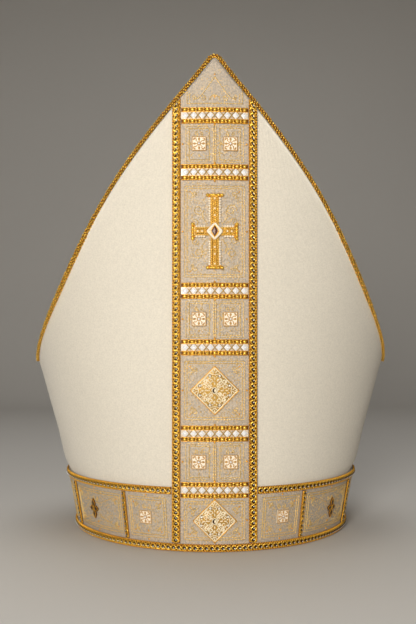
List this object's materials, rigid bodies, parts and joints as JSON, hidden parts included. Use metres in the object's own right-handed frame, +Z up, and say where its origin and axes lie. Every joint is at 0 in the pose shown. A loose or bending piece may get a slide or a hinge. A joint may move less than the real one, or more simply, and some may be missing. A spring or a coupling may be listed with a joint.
{
  "type": "bishop mitre",
  "caption": "Two-horned ceremonial hat of stiff cream cloth with a gold-trimmed column, base band, crystal bars, cross, rosettes and lozenges.",
  "frame": {"origin": "middle of the base oval, on the surface that the mitre stands on", "axes": "+Z up to the peaks, front horn towards -Y, +X to the right seen from the front"},
  "size_m": [0.2496, 0.21, 0.3009],
  "materials": {
    "cream_cloth": "cream wool-blend cloth, fine weave, matt",
    "crown_cloth": "cream lining cloth, soft satin weave",
    "lame_cloth": "pale gold lame, fine metallic weave",
    "gold_braid": "gold metal-thread braid",
    "gold_cord": "twisted gold metal-thread cord",
    "crystal_bar": "clear foiled cut stones between gold rails",
    "gold_cross": "gold bullion embroidery",
    "rosette": "pale gold and white thread",
    "lozenge": "pale gold scrollwork embroidery",
    "dark_gold": "dark gold thread"
  },
  "bodies": {
    "root": {"back_panel": "cream_cloth", "band_motif_left": "dark_gold", "band_motif_right": "dark_gold", "band_rosette_left": "rosette", "band_rosette_right": "rosette", "circulus_bottom_braid": "gold_braid", "circulus_left": "lame_cloth", "circulus_right": "lame_cloth", "circulus_top_braid_left": "gold_braid", "circulus_top_braid_right": "gold_braid", "cross_back": "gold_cross", "cross_front": "gold_cross", "crown_gusset_back": "crown_cloth", "crown_gusset_front": "crown_cloth", "crystal_bar_back_1": "crystal_bar", "crystal_bar_back_2": "crystal_bar", "crystal_bar_back_3": "crystal_bar", "crystal_bar_back_4": "crystal_bar", "crystal_bar_back_5": "crystal_bar", "crystal_bar_back_6": "crystal_bar", "crystal_bar_front_1": "crystal_bar", "crystal_bar_front_2": "crystal_bar", "crystal_bar_front_3": "crystal_bar", "crystal_bar_front_4": "crystal_bar", "crystal_bar_front_5": "crystal_bar", "crystal_bar_front_6": "crystal_bar", "divider_back_left_far": "gold_braid", "divider_back_left_near": "gold_braid", "divider_back_right_far": "gold_braid", "divider_back_right_near": "gold_braid", "divider_front_left_far": "gold_braid", "divider_front_left_near": "gold_braid", "divider_front_right_far": "gold_braid", "divider_front_right_near": "gold_braid", "edge_cord_back": "gold_cord", "edge_cord_front": "gold_cord", "front_panel": "cream_cloth", "lozenge_back_1": "lozenge", "lozenge_back_2": "lozenge", "lozenge_front_1": "lozenge", "lozenge_front_2": "lozenge", "rosette_back_1": "rosette", "rosette_back_2": "rosette", "rosette_back_3": "rosette", "rosette_back_4": "rosette", "rosette_back_5": "rosette", "rosette_back_6": "rosette", "rosette_front_1": "rosette", "rosette_front_2": "rosette", "rosette_front_3": "rosette", "rosette_front_4": "rosette", "rosette_front_5": "rosette", "rosette_front_6": "rosette", "titulus_back": "lame_cloth", "titulus_braid_back_left": "gold_braid", "titulus_braid_back_right": "gold_braid", "titulus_braid_front_left": "gold_braid", "titulus_braid_front_right": "gold_braid", "titulus_front": "lame_cloth"}
  },
  "joints": []
}
